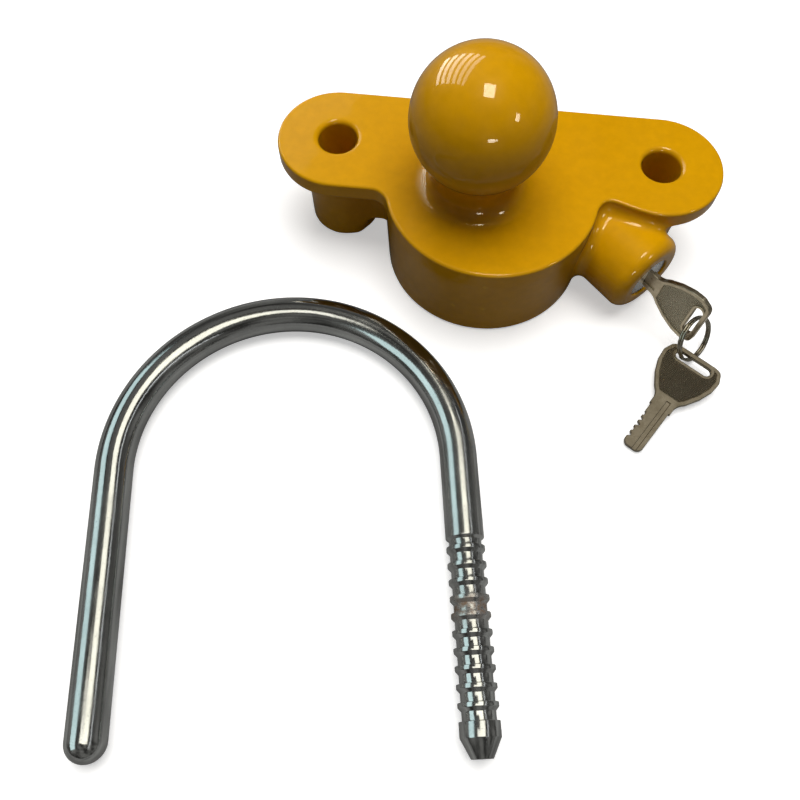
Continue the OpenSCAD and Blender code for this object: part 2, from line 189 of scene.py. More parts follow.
def casting(x, y, z):
    plate = prism(plate_2d(x, y), z, PLATE_Z, PLATE_TOP, EDGE_R)
    base = np.minimum(plate, skirt_shape(x, y, z))
    foot_top = PLATE_Z + 3
    foot_l = taper(x, y, z, PLAIN_FOOT, PLAIN_FOOT_R, FOOT_TOP_R, 0, foot_top, FOOT_EDGE)
    foot_r = taper(x, y, z, RATCHET_FOOT, RATCHET_FOOT_R, FOOT_TOP_R, 0, foot_top, FOOT_EDGE)
    d = round_union(base, round_union(foot_l, web_shape(x, y, z), 3.0), 2.5)
    d = round_union(d, foot_r, 1.6)
    d = round_union(d, rod(x, y, z, FACE, OUT, -BOSS_LEN, 0, BOSS_R, BOSS_EDGE), BOSS_FILLET)
    d = round_union(d, rod(x, y, z, FOOT, BOLT_DIR, 2, 24, HOUSING_R, 1), HOUSING_FILLET)
    d = round_union(d, ball_shape(x, y, z), NECK_FOOT_FILLET)
    for b in (BORE_L, BORE_R):
        d = round_cut(d, np.hypot(x - b[0], y - b[1]) - BORE_RADIUS, BORE_RIM)
    t, rho = along(x, y, z, FACE, OUT)
    d = round_cut(d, np.maximum(rho - LOCK_BORE_R, -LOCK_BORE_DEPTH - t), 0.5)
    t, rho = along(x, y, z, FOOT, BOLT_DIR)
    d = np.maximum(d, -np.maximum(rho - BOLT_BORE_R, -BOLT_BORE_BACK - t))
    t, rho = along(x, y, z, FACE - OUT * PIN_DEPTH, DOWN)
    d = np.maximum(d, -np.maximum(rho - PIN_R, PIN_FROM - t))
    return np.maximum(d, -z)


# ---------------------------------------------------------------- surface nets
EDGES = [(a, a + gap) for gap in (1, 2, 4) for a in range(8) if not a & gap]


def surface(shape, lo, hi, step, settle=4):
    """A smooth closed mesh of the zero surface of shape, in the shape's millimetres, with exact normals."""
    axes = [np.arange(l - 2 * step, h + 3 * step, step) for l, h in zip(lo, hi)]
    x, y, z = np.meshgrid(*axes, indexing="ij", sparse=True)
    zero = np.zeros((len(axes[0]), len(axes[1]), len(axes[2])))
    d = (shape(x, y, z) + zero).astype(np.float64)
    n = np.array(d.shape) - 1
    corners = [(i, j, k) for i in (0, 1) for j in (0, 1) for k in (0, 1)]
    views = [d[i:i + n[0], j:j + n[1], k:k + n[2]] for i, j, k in corners]
    inside = [v < 0 for v in views]
    count = sum(v.astype(np.int8) for v in inside)
    cells = np.argwhere((count > 0) & (count < 8))
    values = np.array([v[tuple(cells.T)] for v in views])
    total, hits = np.zeros((len(cells), 3)), np.zeros(len(cells))
    for a, b in EDGES:
        va, vb = values[a], values[b]
        cross = (va < 0) != (vb < 0)
        t = np.where(cross, va / np.where(cross, va - vb, 1), 0)
        p = np.array(corners[a]) + t[:, None] * (np.array(corners[b]) - np.array(corners[a]))
        total += np.where(cross[:, None], p, 0)
        hits += cross
    verts = np.array([a[0] for a in axes]) + (cells + total / hits[:, None]) * step
    index = np.full(n, -1, np.int64)
    index[tuple(cells.T)] = np.arange(len(cells))
    faces = []
    neg = d < 0
    for axis in range(3):
        u, v = (axis + 1) % 3, (axis + 2) % 3
        a = np.take(neg, range(0, n[axis]), axis)
        b = np.take(neg, range(1, n[axis] + 1), axis)
        at = np.argwhere(a != b)
        at = at[(at[:, u] > 0) & (at[:, v] > 0) & (at[:, u] < n[u]) & (at[:, v] < n[v])]
        flip = ~a[tuple(at.T)]
        quad = []
        for du, dv in ((-1, -1), (0, -1), (0, 0), (-1, 0)):
            c = at.copy()
            c[:, u] += du
            c[:, v] += dv
            quad.append(index[tuple(c.T)])
        quad = np.array(quad).T
        quad[flip] = quad[flip][:, ::-1]
        faces.append(quad)
    faces = np.concatenate(faces)
    probe = 0.02

    def grad(p):
        g = []
        for k in range(3):
            e = np.zeros(3)
            e[k] = probe
            g.append((shape(*(p + e).T) - shape(*(p - e).T)) / (2 * probe))
        return np.array(g).T

    for _ in range(settle):
        g = grad(verts)
        move = shape(*verts.T)[:, None] * g / np.maximum((g * g).sum(1), 0.2)[:, None]
        size = np.linalg.norm(move, axis=1)
        verts = verts - move * np.minimum(1, 0.4 * step / np.maximum(size, 1e-9))[:, None]
    normals = grad(verts)
    normals /= np.maximum(np.linalg.norm(normals, axis=1), 1e-9)[:, None]
    return verts, faces, normals


def mesh_object(name, verts, faces):
    """A smooth-shaded mesh object; verts are in metres."""
    me = bpy.data.meshes.new(name)
    me.from_pydata([tuple(v) for v in verts], [], [tuple(int(i) for i in f) for f in faces])
    me.polygons.foreach_set("use_smooth", [True] * len(me.polygons))
    me.validate()
    ob = bpy.data.objects.new(name, me)
    bpy.context.scene.collection.objects.link(ob)
    return ob


# ---------------------------------------------------------------- tubes swept along a path
def tube(name, points, tangents, radii, side, steps=64):
    """A closed tube; side is a vector that never lines up with the path. Zero radii close the ends."""
    verts, faces = [], []
    ang = np.linspace(0, 2 * math.pi, steps, endpoint=False)
    for p, t, r in zip(points, tangents, radii):
        u = np.array(side, float)
        u = u - t * (u @ t)
        u /= np.linalg.norm(u)
        w = np.cross(t, u)
        verts.append(p + r * (np.outer(np.cos(ang), u) + np.outer(np.sin(ang), w)))
    rings = len(verts)
    verts = np.concatenate(verts)
    for i in range(rings - 1):
        for k in range(steps):
            a, b = i * steps + k, i * steps + (k + 1) % steps
            faces.append((a, b, b + steps, a + steps))
    faces.append(tuple(range(steps))[::-1])
    faces.append(tuple(range((rings - 1) * steps, rings * steps)))
    return mesh_object(name, verts * MM, faces)


# ---------------------------------------------------------------- node material helpers
class Nodes:
    """A node material being built; its methods add nodes and return their output sockets."""

    def __init__(self, name):
        self.mat = bpy.data.materials.new(name)
        self.mat.use_nodes = True
        self.tree = self.mat.node_tree
        self.bsdf = self.tree.nodes["Principled BSDF"]
        self.coord = self.add("ShaderNodeTexCoord").outputs["Object"]

    def add(self, kind, **values):
        n = self.tree.nodes.new(kind)
        for k, v in values.items():
            if hasattr(n, k):
                setattr(n, k, v)
            else:
                n.inputs[k.replace("_", " ")].default_value = v
        return n

    def link(self, a, b):
        self.tree.links.new(a, b)

    def feed(self, sock, v):
        """Gives an input a number, a colour or another node's output."""
        if isinstance(v, (int, float)):
            sock.default_value = v
        elif isinstance(v, tuple):
            sock.default_value = (*v, 1)
        else:
            self.link(v, sock)

    def noise(self, scale, detail=4.0, rough=0.55, coord=None):
        n = self.add("ShaderNodeTexNoise")
        n.inputs["Scale"].default_value = scale
        n.inputs["Detail"].default_value = detail
        n.inputs["Roughness"].default_value = rough
        self.link(coord or self.coord, n.inputs["Vector"])
        return n.outputs["Fac"]

    def ramp(self, fac, *stops):
        n = self.add("ShaderNodeValToRGB")
        els = n.color_ramp.elements
        while len(els) < len(stops):
            els.new(0.5)
        for e, (pos, col) in zip(els, stops):
            e.position = pos
            e.color = (*col, 1) if isinstance(col, tuple) else (col, col, col, 1)
        self.link(fac, n.inputs["Fac"])
        return n.outputs["Color"]

    def maths(self, op, a, b):
        n = self.add("ShaderNodeMath", operation=op)
        self.feed(n.inputs[0], a)
        self.feed(n.inputs[1], b)
        return n.outputs[0]

    def mix(self, fac, a, b, mode="MIX"):
        n = self.add("ShaderNodeMix", data_type="RGBA", blend_type=mode)
        for sock, v in ((n.inputs["Factor"], fac), (n.inputs[6], a), (n.inputs[7], b)):
            self.feed(sock, v)
        return n.outputs[2]

    def bump(self, height, strength, distance, onto=None):
        n = self.add("ShaderNodeBump")
        n.inputs["Strength"].default_value = strength
        n.inputs["Distance"].default_value = distance
        self.link(height, n.inputs["Height"])
        if onto is not None:
            self.link(onto, n.inputs["Normal"])
        return n.outputs["Normal"]

    def attribute(self, name):
        n = self.add("ShaderNodeAttribute")
        n.attribute_name = name
        return n.outputs["Fac"]

    def set(self, **links):
        for k, v in links.items():
            self.feed(self.bsdf.inputs[k.replace("_", " ")], v)


def enamel():
    """Thick golden enamel: glossy on the ball and sides, duller on the flat of the plate."""
    m = Nodes("enamel")
    geo = m.add("ShaderNodeNewGeometry")
    broad = m.noise(28, 3, 0.5)
    base = m.mix(broad, (0.60, 0.285, 0.0003), (0.68, 0.335, 0.0005))
    mottle = m.ramp(m.noise(260, 4, 0.6), (0.35, 0.92), (0.7, 1.0))
    base = m.mix(1.0, base, mottle, "MULTIPLY")
    # Painted highlight: convex edges and rims get a lighter yellow mixed into the base colour.
    edge = m.ramp(geo.outputs["Pointiness"], (0.50, 0.0), (0.515, 0.0), (0.57, 0.6))
    base = m.mix(edge, base, (0.74, 0.40, 0.005))
    # Painted shade: concave fillets and creases get a darker brown mixed into the base colour.
    hollow = m.ramp(geo.outputs["Pointiness"], (0.40, 1.0), (0.485, 0.0))
    base = m.mix(hollow, base, (0.42, 0.17, 0.0))
    cells = m.add("ShaderNodeTexVoronoi")
    cells.inputs["Scale"].default_value = 62
    m.link(m.coord, cells.inputs["Vector"])
    pit = m.ramp(cells.outputs["Distance"], (0.0, 1.0), (0.035, 1.0), (0.05, 0.0))
    rare = m.ramp(m.noise(9, 1, 0.5), (0.58, 0.0), (0.62, 1.0))
    pit = m.mix(1.0, pit, rare, "MULTIPLY")
    base = m.mix(pit, base, (0.10, 0.035, 0.0))
    # Painted shade: where the enamel is seen in a reflection, its colour turns nearly black, so the chrome and
    # keys mirror a dark casting.
    ray = m.add("ShaderNodeLightPath")
    painted_dark_in_reflections = m.maths("MULTIPLY", ray.outputs["Is Glossy Ray"], 0.6)
    base = m.mix(painted_dark_in_reflections, base, (0.05, 0.04, 0.02))
    rough = m.ramp(m.noise(90, 3, 0.6), (0.3, 0.30), (0.7, 0.42))
    peel = m.bump(m.noise(190, 2, 0.5), 0.10, 0.0004)
    cast = m.bump(m.noise(38, 3, 0.5), 0.20, 0.0008, peel)
    dent = m.bump(pit, -0.5, 0.0003, cast)
    facing = m.add("ShaderNodeSeparateXYZ")
    m.link(geo.outputs["Normal"], facing.inputs[0])
    place = m.add("ShaderNodeSeparateXYZ")
    m.link(geo.outputs["Position"], place.inputs[0])
    low = m.maths("LESS_THAN", place.outputs[2], (PLATE_TOP + 1.5) * MM)
    flat = m.maths("MULTIPLY", m.ramp(facing.outputs[2], (0.90, 0.0), (0.985, 1.0)), low)
    gloss = m.maths("SUBTRACT", 1.0, m.maths("MULTIPLY", flat, 0.9))
    m.set(Base_Color=base, Roughness=rough, Normal=dent, Coat_Weight=gloss, Coat_Roughness=0.03,
          Coat_IOR=1.30, Specular_IOR_Level=0.04)
    coat = m.bump(m.noise(120, 2, 0.5), 0.05, 0.0003)
    m.link(coat, m.bsdf.inputs["Coat Normal"])
    return m.mat


def chrome():
    """Bright plate with fine pits and drawing marks, and rust where the stain attribute says."""
    m = Nodes("shackle_chrome")
    stain = m.attribute("stain")
    tint = m.ramp(m.noise(60, 4, 0.6), (0.3, (0.57, 0.57, 0.555)), (0.7, (0.71, 0.71, 0.69)))
    blot = m.ramp(m.noise(420, 4, 0.7), (0.38, 0.0), (0.60, 1.0))
    rust = m.mix(1.0, stain, blot, "MULTIPLY")
    base = m.mix(rust, tint, (0.17, 0.075, 0.02))
    fine = m.noise(1500, 3, 0.7)
    pits = m.ramp(m.noise(2300, 3, 0.7), (0.58, 0.0), (0.68, 1.0))
    wear = m.ramp(m.noise(34, 3, 0.6), (0.45, 0.0), (0.62, 1.0))
    rough = m.mix(wear, m.ramp(fine, (0.35, 0.09), (0.75, 0.17)), (0.22, 0.22, 0.22))
    rough = m.mix(rust, rough, (0.6, 0.6, 0.6))
    base = m.mix(m.maths("MULTIPLY", pits, 0.45), base, (0.24, 0.24, 0.25))
    normal = m.bump(m.noise(900, 3, 0.7), 0.08, 0.0002)
    normal = m.bump(m.noise(95, 3, 0.5), 0.14, 0.0007, normal)
    normal = m.bump(pits, -0.25, 0.0002, normal)
    solid = m.maths("SUBTRACT", 1.0, m.maths("MULTIPLY", rust, 0.6))
    m.set(Base_Color=base, Roughness=rough, Normal=normal, Metallic=solid)
    return m.mat


def worn_metal(name, low, high, rough, grain=900.0, bump=0.06, stretch=None, front=None):
    """Plain metal with colour drift, grain and brighter edges; front colours what the lock face shows."""
    m = Nodes(name)
    coord = m.coord
    if stretch:
        mp = m.add("ShaderNodeMapping")
        mp.inputs["Scale"].default_value = stretch
        m.link(m.coord, mp.inputs["Vector"])
        coord = mp.outputs["Vector"]
    base = m.ramp(m.noise(140, 4, 0.6), (0.3, low), (0.7, high))
    geo = m.add("ShaderNodeNewGeometry").outputs["Pointiness"]
    edge = m.ramp(geo, (0.52, 0.0), (0.58, 0.5))
    base = m.mix(edge, base, tuple(min(1.0, 1.4 * c) for c in high))
    if front:
        where = m.add("ShaderNodeVectorMath", operation="DOT_PRODUCT")
        m.link(m.add("ShaderNodeNewGeometry").outputs["Position"], where.inputs[0])
        where.inputs[1].default_value = tuple(OUT)
        depth = m.maths("SUBTRACT", where.outputs["Value"], float(FACE @ OUT) * MM)
        base = m.mix(m.maths("GREATER_THAN", depth, -1.6 * MM), base, front)
    fine = m.noise(grain, 4, 0.7, coord)
    m.set(Base_Color=base, Metallic=1.0, Roughness=m.ramp(fine, (0.3, rough * 0.75), (0.7, rough * 1.35)),
          Normal=m.bump(fine, bump, 0.0002))
    return m.mat


HATCH_PITCH = 0.62


def key_metal():
    """Yellowish nickel, with a crosshatched pattern where the panel attribute says."""
    m = Nodes("key_nickel")
    panel = m.attribute("panel")
    base = m.ramp(m.noise(180, 4, 0.65), (0.3, (0.44, 0.375, 0.265)), (0.7, (0.60, 0.52, 0.385)))
    dirt = m.ramp(m.noise(520, 4, 0.7), (0.45, 0.0), (0.75, 1.0))
    base = m.mix(m.maths("MULTIPLY", dirt, 0.35), base, (0.24, 0.18, 0.10))
    u, v = m.attribute("key_u"), m.attribute("key_v")
    waves = 2 * math.pi / HATCH_PITCH
    grid_u = m.maths("SINE", m.maths("MULTIPLY", u, waves), 0)
    grid_v = m.maths("SINE", m.maths("MULTIPLY", v, waves), 0)
    knurl = m.maths("MULTIPLY", m.maths("ADD", grid_u, grid_v), 0.25)
    knurl = m.maths("MULTIPLY", m.maths("ADD", knurl, 0.5), panel)
    base = m.mix(m.maths("MULTIPLY", panel, 0.35), base, (0.40, 0.33, 0.22))
    base = m.mix(m.maths("MULTIPLY", knurl, 0.5), base, (0.78, 0.70, 0.54))
    fine = m.noise(1400, 4, 0.7)
    rough = m.ramp(fine, (0.3, 0.24), (0.7, 0.42))
    n = m.bump(knurl, 1.0, 0.0004)
    n = m.bump(fine, 0.10, 0.0002, n)
    m.set(Base_Color=base, Metallic=1.0, Roughness=rough, Normal=n)
    return m.mat


def rubber():
    """Black rubber with a fine matt grain."""
    m = Nodes("seal_rubber")
    m.set(Base_Color=m.ramp(m.noise(300), (0.3, (0.012, 0.012, 0.013)), (0.7, (0.03, 0.03, 0.032))),
          Roughness=m.ramp(m.noise(600), (0.3, 0.5), (0.7, 0.75)), Normal=m.bump(m.noise(900), 0.1, 0.0002))
    return m.mat


MATS = {
    "enamel": enamel(),
    "shackle_chrome": chrome(),
    "lock_steel": worn_metal("lock_steel", (0.42, 0.42, 0.43), (0.58, 0.58, 0.59), 0.34),
    "face_steel": worn_metal("face_steel", (0.66, 0.67, 0.69), (0.82, 0.83, 0.85), 0.26, 1600.0, 0.05),
    "lock_brass": worn_metal("lock_brass", (0.50, 0.36, 0.15), (0.66, 0.50, 0.24), 0.30,
                             front=(0.86, 0.87, 0.88)),
    "spring_steel": worn_metal("spring_steel", (0.30, 0.30, 0.31), (0.45, 0.45, 0.46), 0.25),
    "seal_rubber": rubber(),
    "key_nickel": key_metal(),
    "ring_steel": worn_metal("ring_steel", (0.36, 0.32, 0.25), (0.60, 0.55, 0.44), 0.16, 2200.0, 0.05),
}
NODE_SLOT = {s["node"]: s["material_slot"] for s in frame["record"]["subparts"]}


def finish_piece(ob, node, body):
    """Material, slot, body and the CAD node it stands for."""
    ob.data.materials.clear()
    ob.data.materials.append(MATS[NODE_SLOT[node]])
    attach(ob, body)
    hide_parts(node)
    return ob


for name, ob in frame["nodes"].items():
    mat = MATS[NODE_SLOT[name]]
    if ob.material_slots:
        for s in ob.material_slots:
            s.material = mat
    else:
        ob.data.materials.append(mat)


# ---------------------------------------------------------------- casting
step = 0.6
v, f, nrm = surface(casting, cast_lo, cast_hi, step)
v[:, 2] = np.maximum(v[:, 2], 0)
cast = mesh_object("casting_enamelled", v * MM, f)
cast.data.normals_split_custom_set_from_vertices([tuple(n) for n in nrm])
finish_piece(cast, "body_casting", "casting")

# ---------------------------------------------------------------- shackle
ROD_R = 6.35
shackle_joint = joint("shackle_stand")
leg_end = np.array(shackle_joint["pos_m"]) / MM
across = np.array(shackle_joint["axis"])
toward_bow = np.array([-across[1], across[0], 0.0])
BOW_R = (BORE_R[0] - BORE_L[0]) / 2
LEG_REACH = 95.5
PLAIN_REACH = 91.7
bow_centre = leg_end + toward_bow * LEG_REACH + np.array([0, 0, ROD_R])
RATCHET = {"start": 31.9, "pitch": 5.31, "ribs": 10, "groove": 5.3, "land": 1.4, "slope": 1.15,
           "collar": 4.6, "tip": 3.4}
SEGMENTS = 96


def shackle_path():
    """Rows of (centre point, tangent, radius, distance past the bow on the ratchet leg, else 0 or less)."""
    rows = []

    def leg(side, s, r):
        at = bow_centre + side * BOW_R * across - toward_bow * s
        rows.append((at, side * -toward_bow, r, s if side > 0 else -1.0))

    nose = 14
    for i in range(nose + 1):
        a = math.pi / 2 * i / nose
        leg(-1, PLAIN_REACH - ROD_R + ROD_R * math.cos(a), max(0.02, ROD_R * math.sin(a)))
    for s in np.linspace(PLAIN_REACH - ROD_R, 0, 50)[1:-1]:
        leg(-1, s, ROD_R)
    for a in np.linspace(math.pi, 0, 181):
        p = bow_centre + BOW_R * (math.cos(a) * across + math.sin(a) * toward_bow)
        t = math.sin(a) * across - math.cos(a) * toward_bow
        rows.append((p, t, ROD_R, 0.0))
    R = RATCHET
    soft = 0.14
    g = R["groove"]
    prof = [(s, ROD_R) for s in np.linspace(0, R["start"] - 3.9, 16)[1:]]
    floor_start = R["start"] - 2.1

    def corner(s0, r0, s1, r1, s2, r2):
        """Three points that round the corner at (s1, r1)."""
        out = []
        for q in (0.0, 0.5, 1.0):
            a, b = np.array([s0, r0]), np.array([s1, r1])
            c = np.array([s2, r2])
            pa = b + (a - b) * min(1, soft / np.linalg.norm(a - b))
            pc = b + (c - b) * min(1, soft / np.linalg.norm(c - b))
            out.append((1 - q) ** 2 * pa + 2 * q * (1 - q) * b + q * q * pc)
        return [tuple(o) for o in out]

    key = [(R["start"] - 3.9, ROD_R), (floor_start - 0.8, ROD_R), (floor_start, g)]
    for i in range(R["ribs"]):
        top = R["start"] + i * R["pitch"]
        key += [(top, g), (top + 0.03, ROD_R), (top + R["land"], ROD_R), (top + R["land"] + R["slope"], g)]
    last = R["start"] + R["ribs"] * R["pitch"]
    key += [(last, g), (last + 0.03, ROD_R), (last + R["collar"], ROD_R)]
    key += [(LEG_REACH, R["tip"]), (LEG_REACH, 0.02)]
    for i in range(1, len(key) - 1):
        prof += corner(*key[i - 1], *key[i], *key[i + 1])
    prof.append(key[-1])
    for s, r in prof:
        leg(1, s, r)
    return rows


rows = shackle_path()
path, tangents, radii, past_bow = zip(*rows)
sh = tube("shackle_chromed", path, tangents, radii, (0, 0, 1), SEGMENTS)
stain = sh.data.attributes.new("stain", "FLOAT", "POINT")
STAIN_AT = RATCHET["start"] + 3.75 * RATCHET["pitch"]
STAIN_SPREAD = 3.4
values = []
for s in past_bow:
    values += [math.exp(-((s - STAIN_AT) / STAIN_SPREAD) ** 2) if s > 0 else 0.0] * SEGMENTS
stain.data.foreach_set("value", values)
finish_piece(sh, "shackle", "bow_shackle")

# ---------------------------------------------------------------- keys
KEY = {"tip_in": 18.2, "neck": 4.6, "out": 25.6, "t": 2.0, "blade": 7.4, "bow": 23.0,
       "shoulder": 0.3, "neck_w": 8.4, "slot_w": 3.4, "slot_len": 14.0, "strap": 1.7}
KEY_LEN = KEY["tip_in"] + KEY["out"]


def polygon_sdf(x, y, pts):
    """Signed distance to a closed polygon, negative inside."""
    x, y = np.broadcast_arrays(x, y)
    d = np.full(x.shape, 1e9)
    s = np.ones(x.shape)
    n = len(pts)
    for i in range(n):
        ax, ay = pts[i]
        bx, by = pts[i - 1]
        ex, ey = bx - ax, by - ay
        wx, wy = x - ax, y - ay
        t = np.clip((wx * ex + wy * ey) / (ex * ex + ey * ey), 0, 1)
        d = np.minimum(d, (wx - t * ex) ** 2 + (wy - t * ey) ** 2)
        c1, c2, c3 = y >= ay, y < by, ex * wy > ey * wx
        s = np.where((c1 & c2 & c3) | (~c1 & ~c2 & ~c3), -s, s)
    return s * np.sqrt(d)


def key_slot_2d(x, y):
    reach = (KEY["slot_len"] - KEY["slot_w"]) / 2
    cy = KEY_LEN - KEY["strap"] - KEY["slot_w"] / 2
    return np.hypot(np.maximum(np.abs(x) - reach, 0), y - cy) - KEY["slot_w"] / 2


def bow_2d(x, y):
    """The bow: a fan that widens from the neck to a straight far edge with soft corners."""
    inset = 2.6
    half = KEY["bow"] / 2 - inset
    base = KEY["tip_in"] + KEY["neck"]
    end = KEY["out"] - KEY["neck"] - inset
    side = [(half - 6.5, 1.8), (half - 4.5, 4.0), (half - 1.9, 8.4), (half - 0.3, 12.8), (half, 16.0),
            (half - 0.9, end - 0.2), (half - 2.0, end)]
    pts = side + [(-px, py) for px, py in side[::-1]]
    return polygon_sdf(x, y, [(px, py + base) for px, py in pts]) - inset


def bow_panel(x, y):
    """The sunk, crosshatched middle of the bow."""
    start = KEY["tip_in"] + KEY["neck"] + 1.6
    return np.maximum(np.maximum(bow_2d(x, y) + 1.4, 1.1 - key_slot_2d(x, y)), start - y)


def key_shape(x, y, z):
    half = KEY["blade"] / 2
    shoulder = KEY["tip_in"] + KEY["shoulder"]
    blade = rect(x, y, -half + 0.05, half - 0.05, 0.05, shoulder + 3)
    nose = (np.abs(x) - y - (half - 1.5)) / math.sqrt(2)
    blade = round_meet(blade, nose, 0.6)
    neck = rect(x, y, -KEY["neck_w"] / 2 + 0.3, KEY["neck_w"] / 2 - 0.3, shoulder + 0.3, shoulder + 8) - 0.3
    flat = np.minimum(blade, round_union(bow_2d(x, y), neck, 1.2))
    slot = key_slot_2d(x, y)
    flat = np.maximum(flat, -slot)
    for i in range(5):
        cy = KEY["tip_in"] - 4 - i * 2.4 - 0.5
        depth = 0.6 + 0.4 * (i % 3)
        side = x + half
        notch = np.maximum(side - depth, np.abs(y - cy) - 1.0 + 0.5 * side)
        flat = round_cut(flat, notch, 0.2)
    mid = KEY["t"] / 2
    solid = round_meet(flat, np.abs(z - mid) - mid, 0.28)
    solid = round_cut(solid, np.maximum(bow_panel(x, y), mid - 0.24 - np.abs(z - mid)), 0.1)
    groove = np.maximum(np.abs(x - 1.2) - 0.8, y - KEY["tip_in"] - KEY["neck"] + 0.5)
    return round_cut(solid, np.maximum(groove, KEY["t"] - 0.5 - z), 0.12)


key_box = (-KEY["bow"] / 2, 0, 0), (KEY["bow"] / 2, KEY_LEN, KEY["t"])
kv, kf, kn = surface(key_shape, *key_box, 0.16, 3)
kpanel = bow_panel(kv[:, 0], kv[:, 1])
kpanel = np.clip(-kpanel / 0.2, 0, 1) * (np.abs(kn[:, 2]) > 0.7)


def frame_of(x_axis, y_axis, z_axis):
    """A placement matrix with these axes; its origin is set afterwards."""
    place = np.eye(4)
    place[:3, :3] = np.array((x_axis, y_axis, z_axis)).T
    return place


def add_key(name, node, body, place):
    p = kv @ place[:3, :3].T + place[:3, 3]
    ob = mesh_object(name, p * MM, kf)
    ob.data.normals_split_custom_set_from_vertices([tuple(n) for n in kn @ place[:3, :3].T])
    for attr, vals in (("panel", kpanel), ("key_u", kv[:, 0]), ("key_v", kv[:, 1])):
        a = ob.data.attributes.new(attr, "FLOAT", "POINT")
        a.data.foreach_set("value", vals.astype(np.float32))
    return finish_piece(ob, node, body)


ring_axis = np.array(joint("ring_swing")["axis"])
place = frame_of(-ring_axis, OUT, np.cross(-ring_axis, OUT))
place[:3, 3] = FACE - OUT * KEY["tip_in"] - place[:3, 2] * KEY["t"] / 2
add_key("key_in_lock", "inserted_key", "key", place)

SPARE_TILT = math.radians(4.8)
swing = np.array(joint("spare_key_swing")["axis"])
flat_dir = np.array([swing[1], -swing[0], 0.0])
run = flat_dir * math.cos(SPARE_TILT) + np.array([0, 0, math.sin(SPARE_TILT)])
place = frame_of(-swing, run, np.cross(-swing, run))
hook = np.array(joint("spare_key_swing")["pos_m"]) / MM
place[:3, 3] = hook - run * (KEY_LEN - KEY["strap"] / 2) - place[:3, 2] * KEY["t"] / 2
add_key("key_spare", "spare_key", "loose_key", place)

# ---------------------------------------------------------------- split ring
ring_lo, ring_hi = box_mm("key_ring")
centre = (ring_lo + ring_hi) / 2
RING = {"mean_r": 8.2, "wire": 0.53, "turn": math.radians(49.2), "lean": math.radians(28.7),
        "rise": 0.99, "start": math.radians(200), "step_share": 0.08}
turn = Matrix.Rotation(RING["turn"], 3, "Z") @ Matrix.Rotation(math.pi / 2 - RING["lean"], 3, "X")
turn = np.array(turn)
COIL_POINTS = 260
pts = []
for i in range(COIL_POINTS + 1):
    q = i / COIL_POINTS
    a = RING["start"] + q * 4 * math.pi
    h = (np.clip((q - 0.5) / RING["step_share"] + 0.5, 0, 1) - 0.5) * RING["rise"]
    pts.append(centre + turn @ np.array([RING["mean_r"] * math.cos(a), RING["mean_r"] * math.sin(a), h]))
pts = np.array(pts)
tans = np.gradient(pts, axis=0)
tans /= np.linalg.norm(tans, axis=1)[:, None]
ring = tube("split_ring_coil", pts, tans, [RING["wire"]] * len(pts), turn @ np.array([0, 0, 1.0]), 16)
finish_piece(ring, "key_ring", "ring")

# ---------------------------------------------------------------- lock face cap, turned with soft edges
CAP = {"outer": 8.2, "inner": 6.25, "front": -0.8, "back": -1.6, "soft": 0.22}


def turned(name, profile, origin, axis, steps=96):
    """A closed ring turned about an axis from (radius, distance along the axis) pairs."""
    u = np.cross(axis, [0, 0, 1.0])
    u /= np.linalg.norm(u)
    w = np.cross(axis, u)
    verts, faces = [], []
    for k in range(steps):
        a = 2 * math.pi * k / steps
        radial = math.cos(a) * u + math.sin(a) * w
        for r, t in profile:
            verts.append(origin + radial * r + axis * t)
    n = len(profile)
    for k in range(steps):
        for i in range(n):
            a, b = k * n + i, k * n + (i + 1) % n
            c, d = ((k + 1) % steps) * n + (i + 1) % n, ((k + 1) % steps) * n + i
            faces.append((a, d, c, b))
    return mesh_object(name, np.array(verts) * MM, faces)


def soft_rect(r0, r1, t0, t1, soft, n=4):
    """A rectangle of (radius, distance) pairs with rounded corners."""
    out = []
    corners = ((r1 - soft, t1 - soft, 0), (r0 + soft, t1 - soft, 90),
               (r0 + soft, t0 + soft, 180), (r1 - soft, t0 + soft, 270))
    for cr, ct, a0 in corners:
        for i in range(n + 1):
            a = math.radians(a0 + 90 * i / n)
            out.append((cr + soft * math.cos(a), ct + soft * math.sin(a)))
    return out


cap_profile = soft_rect(CAP["inner"], CAP["outer"], CAP["back"], CAP["front"], CAP["soft"])
cap = turned("lock_cap_ring", cap_profile, FACE, OUT)
finish_piece(cap, "lock_face_cap", "casting")

# ---------------------------------------------------------------- stage, camera and lights
floor_mesh = bpy.data.meshes.new("floor")
FLOOR_HALF = 6.0
corners = [(x * FLOOR_HALF, y * FLOOR_HALF, 0) for x, y in ((-1, -1), (1, -1), (1, 1), (-1, 1))]
floor_mesh.from_pydata(corners, [], [(0, 1, 2, 3)])
floor = bpy.data.objects.new("floor", floor_mesh)
floor.location = (0, 0, -0.0002)
bpy.context.scene.collection.objects.link(floor)
# Pale paper to the camera; darker and uneven where it is reflected or bounces light.
fm = Nodes("floor_paper")
ray = fm.add("ShaderNodeLightPath")
paper = fm.ramp(fm.noise(3, 2, 0.5), (0.3, (0.86, 0.86, 0.86)), (0.7, (0.9, 0.9, 0.9)))
patchy = fm.ramp(fm.noise(16, 3, 0.55), (0.35, (0.12, 0.12, 0.12)), (0.65, (0.29, 0.30, 0.30)))
bounce = fm.mix(ray.outputs["Is Glossy Ray"], (0.27, 0.255, 0.23), patchy)
seen = fm.mix(ray.outputs["Is Camera Ray"], bounce, paper)
fm.set(Base_Color=seen, Roughness=0.9, Specular_IOR_Level=0.0)
glow = fm.maths("MULTIPLY", ray.outputs["Is Camera Ray"], 0.45)
fm.set(Emission_Color=(1, 1, 1), Emission_Strength=glow)
floor.data.materials.append(fm.mat)

